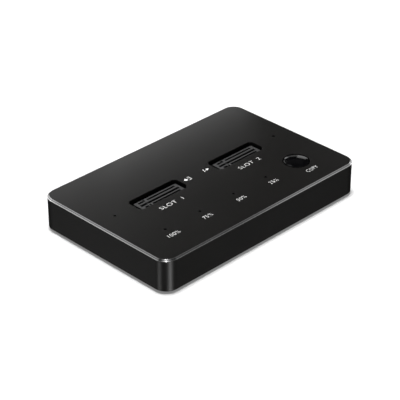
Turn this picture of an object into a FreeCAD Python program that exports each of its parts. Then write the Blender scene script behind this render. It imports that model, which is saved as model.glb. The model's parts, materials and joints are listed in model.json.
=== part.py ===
import FreeCAD, Part
import os
import Sketcher
from FreeCAD import Vector

# Dock for two upright memory cards. Frame: +X along the long side towards the
# button end, +Y towards the connector wall at the back, +Z up, origin on the
# table under the middle of the four feet. Millimetres.

doc = FreeCAD.newDocument("card_dock")
sheet = doc.addObject("Spreadsheet::Sheet", "Sizes")

SIZES = [
    ("case_length", 105.0, "outer length of the shell"),
    ("case_width", 67.9, "outer width of the shell"),
    ("case_height", 13.6, "shell height without the feet"),
    ("corner_radius", 5.6, "upright corner radius"),
    ("edge_chamfer", 0.7, "bright cut edge round the top"),
    ("base_chamfer", 0.3, "edge break at the bottom rim"),
    ("foot_stand", 1.0, "how far the feet stand below the shell"),
    ("side_wall", 2.2, "side wall thickness"),
    ("top_wall", 1.8, "top wall thickness"),
    ("lip_wall", 1.1, "rim left around the bottom cover"),
    ("cover_thick", 1.8, "bottom cover thickness"),
    ("cover_gap", 0.15, "gap round the bottom cover"),
    ("pad_size", 7.4, "corner pad that takes a cover screw"),
    ("screw_inset", 5.9, "cover screw from the outer faces"),
    ("tap_dia", 2.0, "threaded hole"),
    ("shank_dia", 1.9, "screw shank"),
    ("slot_length", 25.0, "card slot in the top wall"),
    ("slot_width", 7.9, "card slot in the top wall"),
    ("slot_corner", 1.9, "card slot corner radius"),
    ("slot_x", 21.1, "card slot centre from the middle"),
    ("slot_y", 2.65, "card slot centre"),
    ("slot_break", 0.1, "edge break round slots and button hole"),
    ("button_x", 35.0, "button centre"),
    ("button_y", -17.2, "button centre"),
    ("button_hole", 11.0, "button hole diameter"),
    ("button_dia", 10.0, "button cap diameter"),
    ("button_rise", 0.8, "crown above the top face"),
    ("button_rim", 0.1, "cap rim below the top face"),
    ("button_dome", 14.339, "radius of the button dome"),
    ("flange_dia", 12.6, "button flange diameter"),
    ("flange_thick", 1.0, "button flange thickness"),
    ("flange_gap", 0.15, "flange below the ceiling"),
    ("light_dia", 1.2, "light hole diameter"),
    ("light_y", -17.3, "row of progress lights"),
    ("light_first", -36.5, "first progress light"),
    ("light_pitch", 17.87, "progress light pitch"),
    ("drive_x", 43.3, "drive light from the middle"),
    ("drive_y", 2.7, "drive lights"),
    ("pipe_tip", 1.1, "light pipe tip diameter"),
    ("pipe_body", 2.6, "light pipe body diameter"),
    ("pipe_drop", 0.35, "tip below the top face"),
    ("board_thick", 1.6, "circuit board thickness"),
    ("board_floor", 4.6, "underside of the board above the table"),
    ("board_gap", 0.9, "board edge to the wall"),
    ("boss_dia", 5.0, "board screw boss"),
    ("boss_x", 45.5, "board screw bosses"),
    ("boss_y", 14.0, "board screw bosses"),
    ("boss_mid_y", 2.2, "middle board screw boss"),
    ("socket_length", 22.0, "card socket length"),
    ("socket_width", 5.8, "card socket width"),
    ("socket_y", 1.75, "card socket centre"),
    ("socket_drop", 0.7, "socket top below the top face"),
    ("mouth_length", 20.0, "card mouth length"),
    ("mouth_width", 1.1, "card mouth width"),
    ("mouth_depth", 5.3, "card mouth depth"),
    ("key_x", 6.125, "key rib from the socket middle"),
    ("key_width", 1.0, "key rib width"),
    ("lead_in", 0.15, "lead-in along the card mouth"),
    ("peg_dia", 1.0, "socket locating peg"),
    ("pin_pitch", 0.5, "contact pitch in one row"),
    ("pin_width", 0.2, "contact width"),
    ("pin_thick", 0.15, "contact strip thickness"),
    ("cell_width", 0.3, "contact cell width"),
    ("cell_in", 1.35, "inner face of a contact cell"),
    ("cell_out", 2.2, "outer face of a contact cell"),
    ("trough_deep", 0.7, "trough over a run of contact cells"),
    ("usb_x", -4.0, "data receptacle centre"),
    ("usb_width", 8.94, "data receptacle shell"),
    ("usb_high", 3.2, "data receptacle shell"),
    ("usb_wall", 0.3, "data receptacle shell sheet"),
    ("usb_depth", 7.35, "data receptacle depth"),
    ("port_recess", 0.4, "connector mouths behind the outer face"),
    ("usb_clear", 0.28, "gap round the receptacle in the plate"),
    ("plate_x", 5.5, "connector plate centre"),
    ("plate_z", 8.3, "connector plate centre above the table"),
    ("plate_wide", 35.0, "connector plate"),
    ("plate_high", 8.2, "connector plate"),
    ("plate_thick", 1.6, "connector plate"),
    ("plate_corner", 1.0, "connector plate corner radius"),
    ("plate_gap", 0.06, "gap round the connector plate"),
    ("plate_sunk", 0.15, "connector plate behind the outer face"),
    ("jack_x", 16.0, "power jack centre"),
    ("jack_wide", 6.4, "power jack body"),
    ("jack_high", 5.6, "power jack body"),
    ("jack_long", 9.0, "power jack body"),
    ("jack_collar", 5.4, "power jack collar diameter"),
    ("jack_bore", 3.8, "power jack bore"),
    ("jack_pin", 1.3, "power jack centre pin"),
    ("switch_size", 6.0, "push switch body"),
    ("switch_high", 3.1, "push switch body"),
    ("switch_plate", 0.25, "push switch steel cover"),
    ("plunger_dia", 3.4, "push switch plunger"),
    ("plunger_top", 4.3, "plunger top above the board"),
    ("foot_dia", 9.0, "rubber foot"),
    ("foot_x", 38.5, "rubber foot centre"),
    ("foot_y", 24.0, "rubber foot centre"),
    ("foot_sunk", 0.5, "foot depth in the cover"),
]


class Size:
    """A length that knows its number and the formula it comes from."""

    def __init__(self, number, text):
        self.number = float(number)
        self.text = text

    def __add__(self, other):
        other = size(other)
        return Size(self.number + other.number, "(%s + %s)" % (self.text, other.text))

    def __radd__(self, other):
        return size(other) + self

    def __sub__(self, other):
        other = size(other)
        return Size(self.number - other.number, "(%s - %s)" % (self.text, other.text))

    def __rsub__(self, other):
        return size(other) - self

    def __mul__(self, other):
        other = size(other)
        return Size(self.number * other.number, "(%s * %s)" % (self.text, other.text))

    def __rmul__(self, other):
        return size(other) * self

    def __truediv__(self, other):
        other = size(other)
        return Size(self.number / other.number, "(%s / %s)" % (self.text, other.text))

    def __neg__(self):
        return Size(-self.number, "(0 - %s)" % self.text)


def size(value):
    if isinstance(value, Size):
        return value
    return Size(value, "%.6f" % value if value >= 0 else "(0 - %.6f)" % -value)


class Named:
    pass


S = Named()
for row, (alias, number, note) in enumerate(SIZES, start=1):
    sheet.set("A%d" % row, alias)
    sheet.set("B%d" % row, "%g" % number)
    sheet.setAlias("B%d" % row, alias)
    sheet.set("C%d" % row, note)
    setattr(S, alias, Size(number, "Sizes." + alias))
doc.recompute()

nodes = []


def keep(obj, label):
    obj.Label = label
    nodes.append(obj)
    return obj


def bind(obj, prop, value):
    value = size(value)
    obj.setExpression(prop, value.text)


def body(name, x=0.0, y=0.0, z=0.0):
    made = doc.addObject("PartDesign::Body", name)
    made.Label = name
    made.AllowCompound = True
    for axis, value in (("x", x), ("y", y), ("z", z)):
        if isinstance(value, Size) or value:
            bind(made, "Placement.Base." + axis, value)
    return made


def origin(owner, role):
    for feature in owner.Origin.OriginFeatures:
        if feature.Role == role:
            return feature
    raise RuntimeError(role)


def sketch(owner, role, x=0.0, y=0.0, z=0.0):
    made = owner.newObject("Sketcher::SketchObject", owner.Name + "_sketch")
    made.AttachmentSupport = [(origin(owner, role), "")]
    made.MapMode = "FlatFace"
    for axis, value in (("x", x), ("y", y), ("z", z)):
        if isinstance(value, Size) or value:
            bind(made, "AttachmentOffset.Base." + axis, value)
    return made


def fix(made, geo, point, axis, value):
    """Hold one coordinate of a sketch point from the sketch origin."""
    value = size(value)
    kind = "DistanceX" if axis == 0 else "DistanceY"
    if abs(value.number) < 1e-9:
        made.addConstraint(Sketcher.Constraint("PointOnObject", geo, point, -2 if axis == 0 else -1))
        return
    if value.number > 0:
        index = made.addConstraint(Sketcher.Constraint(kind, -1, 1, geo, point, value.number))
    else:
        value = -value
        index = made.addConstraint(Sketcher.Constraint(kind, geo, point, -1, 1, value.number))
    made.setExpression("Constraints[%d]" % index, value.text)


def path(made, points, arcs=None):
    """Closed outline through the points; arcs maps a side to its centre and a point on it."""
    arcs = arcs or {}
    points = [(size(px), size(py)) for px, py in points]
    count = len(points)
    first = None
    ids = []
    for i in range(count):
        ax, ay = points[i]
        bx, by = points[(i + 1) % count]
        a = Vector(ax.number, ay.number, 0)
        b = Vector(bx.number, by.number, 0)
        if i in arcs:
            on = arcs[i][1]
            arc = Part.Arc(a, Vector(size(on[0]).number, size(on[1]).number, 0), b)
            geo = made.addGeometry(arc)
            stored = made.Geometry[geo]
            start, end = (1, 2) if (stored.StartPoint - a).Length < 1e-6 else (2, 1)
        else:
            geo = made.addGeometry(Part.LineSegment(a, b))
            start, end = 1, 2
        ids.append((geo, start, end))
    for i in range(count):
        geo, start, end = ids[i]
        nxt = ids[(i + 1) % count]
        made.addConstraint(Sketcher.Constraint("Coincident", geo, end, nxt[0], nxt[1]))
        fix(made, geo, start, 0, points[i][0])
        fix(made, geo, start, 1, points[i][1])
        if i in arcs:
            cx, cy = arcs[i][0]
            dx = abs(points[(i + 1) % count][0].number - points[i][0].number)
            dy = abs(points[(i + 1) % count][1].number - points[i][1].number)
            if dx < dy:
                fix(made, geo, 3, 0, cx)
            else:
                fix(made, geo, 3, 1, cy)


def rect(made, cx, cy, w, d):
    cx, cy, w, d = size(cx), size(cy), size(w), size(d)
    path(made, [(cx - w / 2, cy - d / 2), (cx + w / 2, cy - d / 2),
                (cx + w / 2, cy + d / 2), (cx - w / 2, cy + d / 2)])


def round_rect(made, cx, cy, w, d, r):
    cx, cy, w, d, r = size(cx), size(cy), size(w), size(d), size(r)
    x0, x1, y0, y1 = cx - w / 2, cx + w / 2, cy - d / 2, cy + d / 2
    k = 0.70710678
    points = [(x0 + r, y0), (x1 - r, y0), (x1, y0 + r), (x1, y1 - r),
              (x1 - r, y1), (x0 + r, y1), (x0, y1 - r), (x0, y0 + r)]
    arcs = {1: ((x1 - r, y0 + r), (x1 - r + r * k, y0 + r - r * k)),
            3: ((x1 - r, y1 - r), (x1 - r + r * k, y1 - r + r * k)),
            5: ((x0 + r, y1 - r), (x0 + r - r * k, y1 - r + r * k)),
            7: ((x0 + r, y0 + r), (x0 + r - r * k, y0 + r - r * k))}
    path(made, points, arcs)


def stadium(made, w, d):
    """Long-round outline about the sketch origin, round at both ends."""
    w, d = size(w), size(d)
    r = d / 2
    a = w / 2 - r
    points = [(-a, -r), (a, -r), (a, r), (-a, r)]
    arcs = {1: ((a, size(0)), (w / 2, size(0))), 3: ((-a, size(0)), (-(w / 2), size(0)))}
    path(made, points, arcs)


def circle(made, cx, cy, dia):
    cx, cy, dia = size(cx), size(cy), size(dia)
    geo = made.addGeometry(Part.Circle(Vector(cx.number, cy.number, 0), Vector(0, 0, 1), dia.number / 2))
    index = made.addConstraint(Sketcher.Constraint("Diameter", geo, dia.number))
    made.setExpression("Constraints[%d]" % index, dia.text)
    fix(made, geo, 3, 0, cx)
    fix(made, geo, 3, 1, cy)


def tip_volume(owner):
    return owner.Tip.Shape.Volume if owner.Tip is not None else 0.0


def pad(owner, made, length, back=False):
    before = tip_volume(owner)
    feature = owner.newObject("PartDesign::Pad", owner.Name + "_pad")
    feature.Profile = made
    feature.Reversed = back
    bind(feature, "Length", length)
    doc.recompute()
    if feature.Shape.Volume <= before + 1e-6:
        raise RuntimeError("pad adds nothing: " + feature.Name)
    return feature


def pocket(owner, made, length, back=False):
    before = tip_volume(owner)
    feature = owner.newObject("PartDesign::Pocket", owner.Name + "_pocket")
    feature.Profile = made
    feature.Reversed = back
    bind(feature, "Length", length)
    doc.recompute()
    if feature.Shape.Volume >= before - 1e-6:
        raise RuntimeError("pocket cuts nothing: " + feature.Name)
    return feature


def revolve(owner, made):
    feature = owner.newObject("PartDesign::Revolution", owner.Name + "_turn")
    feature.Profile = made
    feature.ReferenceAxis = (made, ["V_Axis"])
    feature.Angle = 360
    doc.recompute()
    return feature


def groove(owner, made):
    before = tip_volume(owner)
    feature = owner.newObject("PartDesign::Groove", owner.Name + "_groove")
    feature.Profile = made
    feature.ReferenceAxis = (made, ["V_Axis"])
    feature.Angle = 360
    doc.recompute()
    if feature.Shape.Volume >= before - 1e-6:
        raise RuntimeError("groove cuts nothing: " + feature.Name)
    return feature


def row(owner, feature, count, pitch, towards_minus=True):
    made = owner.newObject("PartDesign::LinearPattern", owner.Name + "_row")
    made.Originals = [feature]
    made.Direction = (origin(owner, "X_Axis"), [""])
    made.Reversed = towards_minus
    bind(made, "Length", size(pitch) * (count - 1))
    made.Occurrences = count
    owner.Tip = made
    doc.recompute()
    return made


def edges(feature, test):
    return ["Edge%d" % (i + 1) for i, e in enumerate(feature.Shape.Edges) if test(e)]


def dress(owner, kind, names, value):
    if not names:
        raise RuntimeError("no edges on " + owner.Name)
    base = owner.Tip
    feature = owner.newObject("PartDesign::" + kind, owner.Name + "_" + kind.lower())
    feature.Base = (base, names)
    bind(feature, "Radius" if kind == "Fillet" else "Size", value)
    doc.recompute()
    return feature


def group(name, members):
    made = doc.addObject("Part::Compound", name)
    made.Links = members
    doc.recompute()
    return keep(made, name)


def near(a, b, tol=1e-4):
    return abs(a - b) < tol


def flat_at(z):
    return lambda e: near(e.BoundBox.ZMin, z.number) and near(e.BoundBox.ZMax, z.number)


# Heights used all over the dock.
z_bottom = S.foot_stand
z_top = S.foot_stand + S.case_height
z_ceiling = z_top - S.top_wall
z_cover = z_bottom + S.cover_thick
z_board = S.board_floor + S.board_thick
z_socket = z_top - S.socket_drop
half_l = S.case_length / 2
half_w = S.case_width / 2
in_l = half_l - S.side_wall
in_w = half_w - S.side_wall
screw_x = half_l - S.screw_inset
screw_y = half_w - S.screw_inset
y_mouth = half_w - S.port_recess
z_usb = z_board + S.usb_high / 2
z_jack = z_board + S.jack_high / 2
BOSSES = [(-S.boss_x, -S.boss_y), (S.boss_x, -S.boss_y), (-S.boss_x, S.boss_y),
          (S.boss_x, S.boss_y), (size(0), S.boss_mid_y)]
CORNERS = [(-1, -1), (1, -1), (-1, 1), (1, 1)]
LIGHTS = [(S.light_first + S.light_pitch * i, S.light_y) for i in range(4)]
DRIVES = [(-S.drive_x, S.drive_y), (S.drive_x, S.drive_y)]

# Top case: a shell milled from one block, open below.
case = body("top_case")
s = sketch(case, "XY_Plane", z=z_bottom)
round_rect(s, 0, 0, S.case_length, S.case_width, S.corner_radius)
f = pad(case, s, S.case_height)
dress(case, "Chamfer", edges(case.Tip, flat_at(z_top)), S.edge_chamfer)
dress(case, "Chamfer", edges(case.Tip, flat_at(z_bottom)), S.base_chamfer)
# Rebate that takes the bottom cover.
s = sketch(case, "XY_Plane", z=z_bottom)
round_rect(s, 0, 0, S.case_length - S.lip_wall * 2, S.case_width - S.lip_wall * 2, S.corner_radius - S.lip_wall)
pocket(case, s, S.cover_thick, back=True)
# Cavity with a solid pad left in each corner.
s = sketch(case, "XY_Plane", z=z_bottom)
px, py = in_l - S.pad_size, in_w - S.pad_size
path(s, [(-px, -in_w), (px, -in_w), (px, -py), (in_l, -py), (in_l, py), (px, py),
         (px, in_w), (-px, in_w), (-px, py), (-in_l, py), (-in_l, -py), (-px, -py)])
pocket(case, s, S.case_height - S.top_wall, back=True)
upright = edges(case.Tip, lambda e: near(e.BoundBox.XLength, 0) and near(e.BoundBox.YLength, 0)
                and e.BoundBox.ZLength > 8 and near(abs(e.BoundBox.XMin), px.number) and near(abs(e.BoundBox.YMin), py.number))
dress(case, "Fillet", upright, 1.5)
# Bosses that carry the board.
s = sketch(case, "XY_Plane", z=z_board)
for bx, by in BOSSES:
    circle(s, bx, by, S.boss_dia)
pad(case, s, z_ceiling - z_board + 0.2)
s = sketch(case, "XY_Plane", z=z_board)
for bx, by in BOSSES:
    circle(s, bx, by, S.tap_dia)
pocket(case, s, 4.8, back=True)
s = sketch(case, "XY_Plane", z=z_cover)
for sx, sy in CORNERS:
    circle(s, screw_x * sx, screw_y * sy, S.tap_dia)
pocket(case, s, 6.2, back=True)
# Card slots, button hole and light holes through the top wall.
s = sketch(case, "XY_Plane", z=z_top)
for side in (-1, 1):
    round_rect(s, S.slot_x * side, S.slot_y, S.slot_length, S.slot_width, S.slot_corner)
circle(s, S.button_x, S.button_y, S.button_hole)
pocket(case, s, S.top_wall + 0.1)


def opening_edge(e):
    if not flat_at(z_top)(e):
        return False
    b = e.BoundBox
    return max(abs(b.XMin), abs(b.XMax)) < 42 and max(abs(b.YMin), abs(b.YMax)) < 30


dress(case, "Chamfer", edges(case.Tip, opening_edge), S.slot_break)
s = sketch(case, "XY_Plane", z=z_top)
for lx, ly in LIGHTS + DRIVES:
    circle(s, lx, ly, S.light_dia)
pocket(case, s, S.top_wall + 0.1)
# Window in the back wall for the connector plate.
s = sketch(case, "XZ_Plane", x=S.plate_x, y=S.plate_z, z=-(in_w - 0.5))
round_rect(s, 0, 0, S.plate_wide + S.plate_gap * 2, S.plate_high + S.plate_gap * 2, S.plate_corner + S.plate_gap)
pocket(case, s, S.side_wall + 1)
keep(case, "top_case")

# Connector plate glued into the window, a little behind the outer face.
plate = body("connector_plate")
y_plate = half_w - S.plate_sunk
s = sketch(plate, "XZ_Plane", x=S.plate_x, y=S.plate_z, z=-(y_plate - S.plate_thick))
round_rect(s, 0, 0, S.plate_wide, S.plate_high, S.plate_corner)
pad(plate, s, S.plate_thick, back=True)
s = sketch(plate, "XZ_Plane", x=S.usb_x, y=z_usb, z=-(y_plate - S.plate_thick - 0.1))
stadium(s, S.usb_width + S.usb_clear * 2, S.usb_high + S.usb_clear * 2)
pocket(plate, s, S.plate_thick + 0.2)
s = sketch(plate, "XZ_Plane", x=S.jack_x, y=z_jack, z=-(y_plate - S.plate_thick - 0.1))
circle(s, 0, 0, S.jack_collar + 0.4)
pocket(plate, s, S.plate_thick + 0.2)
dress(plate, "Chamfer", edges(plate.Tip, lambda e: near(e.BoundBox.YMin, y_plate.number) and near(e.BoundBox.YMax, y_plate.number)), 0.2)
keep(plate, "connector_plate")

# Bottom cover: moulded plate in the rebate, with ribs that back the board.
cover = body("bottom_cover")
s = sketch(cover, "XY_Plane", z=z_bottom)
inset = (S.lip_wall + S.cover_gap) * 2
round_rect(s, 0, 0, S.case_length - inset, S.case_width - inset, S.corner_radius - S.lip_wall - S.cover_gap)
pad(cover, s, S.cover_thick)
dress(cover, "Chamfer", edges(cover.Tip, flat_at(z_bottom)), 0.3)
s = sketch(cover, "XY_Plane", z=z_cover)
for side in (-1, 1):
    for dy in (-1.6, 1.6):
        rect(s, S.slot_x * side, S.socket_y + dy, 18.0, 1.2)
    rect(s, S.slot_x * side, -22.0, 26.0, 1.2)
    rect(s, S.slot_x * side * 0.75, 20.5, 20.0, 1.2)
pad(cover, s, S.board_floor - z_cover - 0.15)
s = sketch(cover, "XY_Plane", z=z_bottom)
for sx, sy in CORNERS:
    circle(s, S.foot_x * sx, S.foot_y * sy, S.foot_dia + 0.3)
pocket(cover, s, S.foot_sunk, back=True)
s = sketch(cover, "XY_Plane", z=z_bottom)
round_rect(s, 0, 0, 54.0, 25.0, 1.5)
pocket(cover, s, 0.25, back=True)
s = sketch(cover, "XY_Plane", z=z_bottom)
for sx, sy in CORNERS:
    circle(s, screw_x * sx, screw_y * sy, 2.2)
pocket(cover, s, S.cover_thick + 0.1, back=True)
for sx, sy in CORNERS:
    s = sketch(cover, "XZ_Plane", x=screw_x * sx, z=-(screw_y * sy))
    path(s, [(0, z_bottom - 0.1), (2.1, z_bottom - 0.1), (2.0, z_bottom), (1.1, z_bottom + 0.9), (0, z_bottom + 0.9)])
    groove(cover, s)
keep(cover, "bottom_cover")

# Rubber feet, each a disc with a softened rim and a shallow dished sole.
feet = []
for sx, sy in CORNERS:
    foot = body("foot", S.foot_x * sx, S.foot_y * sy)
    s = sketch(foot, "XZ_Plane")
    r = S.foot_dia / 2
    path(s, [(0, 0.15), (1.6, 0.15), (1.9, 0), (r - 0.35, 0), (r, 0.35), (r, S.foot_stand + S.foot_sunk), (0, S.foot_stand + S.foot_sunk)],
         {3: ((r - 0.35, size(0.35)), (r - 0.35 + 0.35 * 0.70710678, 0.35 - 0.35 * 0.70710678))})
    revolve(foot, s)
    feet.append(foot)
group("rubber_feet", feet)


def cross(owner, z, depth, reach, width):
    """Cross recess in a screw head, cut upwards from its face."""
    s = sketch(owner, "XY_Plane", z=z)
    a, b = size(reach), size(width) / 2
    path(s, [(-a, -b), (-b, -b), (-b, -a), (b, -a), (b, -b), (a, -b),
             (a, b), (b, b), (b, a), (-b, a), (-b, b), (-a, b)])
    pocket(owner, s, depth, back=True)


screws = []
for sx, sy in CORNERS:
    screw = body("cover_screw", screw_x * sx, screw_y * sy)
    s = sketch(screw, "XZ_Plane")
    r = S.shank_dia / 2
    path(s, [(0, z_bottom + 0.1), (1.85, z_bottom + 0.1), (r, z_bottom + 1.0), (r, z_cover + 5.2), (r - 0.4, z_cover + 5.6), (0, z_cover + 5.6)])
    revolve(screw, s)
    cross(screw, z_bottom + 0.1, 0.7, 1.05, 0.45)
    screws.append(screw)
group("cover_screws", screws)

screws = []
for bx, by in BOSSES:
    screw = body("board_screw", bx, by)
    s = sketch(screw, "XZ_Plane")
    r = S.shank_dia / 2
    zb = S.board_floor
    path(s, [(0, zb - 1.2), (1.45, zb - 1.2), (1.8, zb - 0.85), (1.8, zb), (r, zb), (r, z_board + 3.8), (r - 0.4, z_board + 4.2), (0, z_board + 4.2)])
    revolve(screw, s)
    cross(screw, zb - 1.2, 0.7, 0.95, 0.42)
    screws.append(screw)
group("board_screws", screws)

# Circuit board, notched at the corners to pass the screw pads.
board = body("main_board")
s = sketch(board, "XY_Plane", z=S.board_floor)
ex, ey = in_l - S.board_gap, in_w - S.board_gap
nx, ny = px - 0.5, py - 0.5
path(s, [(-nx, -ey), (nx, -ey), (nx, -ny), (ex, -ny), (ex, ny), (nx, ny),
         (nx, ey), (-nx, ey), (-nx, ny), (-ex, ny), (-ex, -ny), (-nx, -ny)])
pad(board, s, S.board_thick)
s = sketch(board, "XY_Plane", z=z_board)
for bx, by in BOSSES:
    circle(s, bx, by, 2.3)
for side in (-1, 1):
    for end in (-1, 1):
        circle(s, S.slot_x * side + 9.0 * end, S.socket_y, S.peg_dia + 0.2)
LEGS = [(sx * (S.usb_width / 2 - S.usb_wall / 2), y_mouth - S.usb_depth + dy) for sx in (-1, 1) for dy in (1.3, 3.5)]
for lx, ly in LEGS:
    rect(s, S.usb_x + lx, ly, 0.8, 1.5)
jack_back = y_mouth - 2.1 - S.jack_long
TERMS = [(size(0), jack_back + 0.6), (size(0), jack_back + 4.6), (size(2.1), jack_back + 2.6)]
for tx, ty in TERMS:
    rect(s, S.jack_x + tx, ty, 1.9, 0.7)
pocket(board, s, S.board_thick + 0.1)
keep(board, "main_board")


# Card sockets, standing on the board under the slots. A frame carries the end
# posts, the web under the card and the key rib; two combs guide the contacts.
def socket_frame(name, side):
    made = body(name, S.slot_x * side, S.socket_y)
    mouth = S.mouth_length / 2
    post = S.socket_length / 2 - mouth
    s = sketch(made, "XY_Plane", z=z_board)
    for way in (-1, 1):
        rect(s, (mouth + post / 2) * way, 0, post, S.socket_width)
    pad(made, s, z_socket - z_board)
    outer = edges(made.Tip, lambda e: near(e.BoundBox.XLength, 0) and near(e.BoundBox.YLength, 0)
                  and near(abs(e.BoundBox.Center.x), S.socket_length.number / 2))
    dress(made, "Fillet", outer, 0.3)
    # Web under the card edge, and the key rib on it.
    s = sketch(made, "XY_Plane", z=z_board)
    rect(s, 0, 0, S.mouth_length + 0.4, S.mouth_width)
    pad(made, s, z_socket - S.mouth_depth - z_board)
    s = sketch(made, "XY_Plane", z=z_board + 0.5)
    rect(s, -S.key_x, 0, S.key_width, S.mouth_width)
    pad(made, s, z_socket - z_board - 0.85)
    # Locating pegs in the board.
    s = sketch(made, "XY_Plane", z=S.board_floor + 0.4)
    for end in (-9.0, 9.0):
        circle(s, end, 0, S.peg_dia)
    pad(made, s, S.board_thick - 0.4 + 0.2)
    return keep(made, name)


def socket_comb(name, side, way, first, short, length):
    made = body(name, S.slot_x * side, S.socket_y)
    a, b = S.mouth_width / 2, S.socket_width / 2
    s = sketch(made, "XY_Plane", z=z_board)
    rect(s, 0, (a + b) / 2 * way, S.mouth_length, b - a)
    pad(made, s, z_socket - z_board)
    # Lead-in for the card along the mouth.
    inner = edges(made.Tip, lambda e: flat_at(z_socket)(e) and near(e.BoundBox.YLength, 0) and near(abs(e.BoundBox.Center.y), a.number))
    dress(made, "Chamfer", inner, S.lead_in)
    # Moulding notch in the rim beside the key.
    s = sketch(made, "XY_Plane", z=z_socket)
    rect(s, -S.key_x - 0.35, (S.cell_in + 2.6) / 2 * way, 0.9, 2.6 - S.cell_in)
    pocket(made, s, 2.4)
    # Trough along each run of contacts, a little wider than the cells.
    s = sketch(made, "XY_Plane", z=z_socket)
    for start, count in ((first, 29), (short, length)):
        run = S.pin_pitch * (count - 1)
        rect(s, size(start) - run / 2, (S.cell_in + S.cell_out) / 2 * way, run + S.cell_width + 0.1, S.cell_out - S.cell_in + 0.1)
    pocket(made, s, S.trough_deep)
    # Room under the outer wall for the contact tails.
    s = sketch(made, "XY_Plane", z=z_board)
    rect(s, 0, (1.6 + 3.2) / 2 * way, 19.4, 1.6)
    pocket(made, s, 0.35, back=True)
    # One cell for each contact: an open chimney that breaks into the mouth.
    for start, count in ((first, 29), (short, length)):
        s = sketch(made, "YZ_Plane", z=size(start) - S.cell_width / 2)
        c, d = S.cell_in * way, S.cell_out * way
        path(s, [(c, z_socket + 0.2), (d, z_socket + 0.2), (d, z_board - 0.1), (c, z_board - 0.1),
                 (c, z_board + 1.2), (0.3 * way, z_board + 1.2), (0.3 * way, z_socket - 1.3), (c, z_socket - 1.3)])
        cell = pocket(made, s, S.cell_width, back=True)
        row(made, cell, count, S.pin_pitch)
    return keep(made, name)


ROWS = [(1, 9.25, -7.25, 5), (-1, 9.0, -7.5, 4)]


def strip(line, thick, way):
    """Outline of a bent strip of even thickness along a centre line."""
    half = thick / 2
    left, right = [], []
    for i, (x, z) in enumerate(line):
        dirs = []
        for a, b in ((i - 1, i), (i, i + 1)):
            if a < 0 or b >= len(line):
                continue
            d = Vector(line[b][0] - line[a][0], line[b][1] - line[a][1], 0)
            dirs.append(d / d.Length)
        n = Vector(0, 0, 0)
        for d in dirs:
            n = n + Vector(-d.y, d.x, 0)
        n = n / n.Length
        cosine = n.dot(Vector(-dirs[0].y, dirs[0].x, 0))
        offset = n * (half / cosine)
        left.append(((x + offset.x) * way, z + offset.y))
        right.append(((x - offset.x) * way, z - offset.y))
    return left + right[::-1]


def contacts(name, side):
    made = body(name, S.slot_x * side, S.socket_y)
    zb = z_board.number
    line = [(4.0, zb + 0.075), (1.95, zb + 0.075), (1.95, zb + 3.4), (1.62, zb + 4.0), (0.42, zb + 5.2), (0.85, zb + 6.05)]
    for way, first, short, length in ROWS:
        for start, count in ((first, 29), (short, length)):
            s = sketch(made, "YZ_Plane", z=size(start) - S.pin_width / 2)
            path(s, [(v, z_board + (z - zb)) for v, z in strip(line, S.pin_thick.number, way)])
            pin = pad(made, s, S.pin_width)
            row(made, pin, count, S.pin_pitch)
    return keep(made, name)


for title, side in (("left", -1), ("right", 1)):
    socket_frame(title + "_socket_frame", side)
    for comb, line in (("back", ROWS[0]), ("front", ROWS[1])):
        socket_comb("%s_socket_%s_comb" % (title, comb), side, *line)
    contacts(title + "_socket_contacts", side)

tabs = []
for side in (-1, 1):
    for end in (-1, 1):
        tab = body("hold_down", S.slot_x * side, S.socket_y - 1.2)
        s = sketch(tab, "XZ_Plane")
        e = S.socket_length / 2
        path(s, [(e * end, z_board), ((e + 1.3) * end, z_board), ((e + 1.3) * end, z_board + 0.25),
                 ((e + 0.25) * end, z_board + 0.25), ((e + 0.25) * end, z_board + 3.2), (e * end, z_board + 3.2)])
        pad(tab, s, 2.4, back=True)
        tabs.append(tab)
group("socket_hold_downs", tabs)

# Copy button: domed cap, hollow below, with a flange under the top wall and a
# middle post that meets the switch.
button = body("copy_button", S.button_x, S.button_y)
s = sketch(button, "XZ_Plane")
z_flange = z_ceiling - S.flange_gap - S.flange_thick
z_post = z_board + S.plunger_top + 0.1
r = S.button_dia / 2
z_crown = z_top + S.button_rise
z_rim = z_top - S.button_rim
sag = (S.button_dome.number ** 2 - (r.number / 2) ** 2) ** 0.5
path(s, [(0, z_post), (1.8, z_post), (1.8, z_ceiling + 0.6), (4.3, z_ceiling + 0.6), (4.3, z_flange), (S.flange_dia / 2, z_flange),
         (S.flange_dia / 2, z_flange + S.flange_thick), (r, z_flange + S.flange_thick), (r, z_rim), (0, z_crown)],
     {8: ((size(0), z_crown - S.button_dome), (r / 2, z_crown - S.button_dome + sag))})
revolve(button, s)
rim = edges(button.Tip, lambda e: near(e.BoundBox.ZLength, 0) and near(e.BoundBox.ZMin, z_rim.number, 1e-3) and e.BoundBox.XLength > 9)
dress(button, "Fillet", rim, 0.12)
keep(button, "copy_button")

# Push switch under the button.
base = body("switch_base", S.button_x, S.button_y)
s = sketch(base, "XY_Plane", z=z_board)
rect(s, 0, 0, S.switch_size, S.switch_size)
pad(base, s, S.switch_high)
corners = edges(base.Tip, lambda e: near(e.BoundBox.XLength, 0) and near(e.BoundBox.YLength, 0))
dress(base, "Chamfer", corners, 0.5)
s = sketch(base, "XY_Plane", z=z_board + S.switch_high)
circle(s, 0, 0, 4.8)
pocket(base, s, S.switch_high - 1.2)
keep(base, "switch_base")

lid = body("switch_cover", S.button_x, S.button_y)
s = sketch(lid, "XY_Plane", z=z_board + S.switch_high)
rect(s, 0, 0, S.switch_size, S.switch_size)
pad(lid, s, S.switch_plate)
s = sketch(lid, "XY_Plane", z=z_board + 1.0)
for way in (-1, 1):
    rect(s, 0, (S.switch_size + S.switch_plate) / 2 * way, 3.0, S.switch_plate)
pad(lid, s, S.switch_high + S.switch_plate - 1.0)
s = sketch(lid, "XY_Plane", z=z_board + S.switch_high + S.switch_plate)
circle(s, 0, 0, S.plunger_dia + 0.4)
pocket(lid, s, S.switch_plate + 0.1)
keep(lid, "switch_cover")

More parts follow.
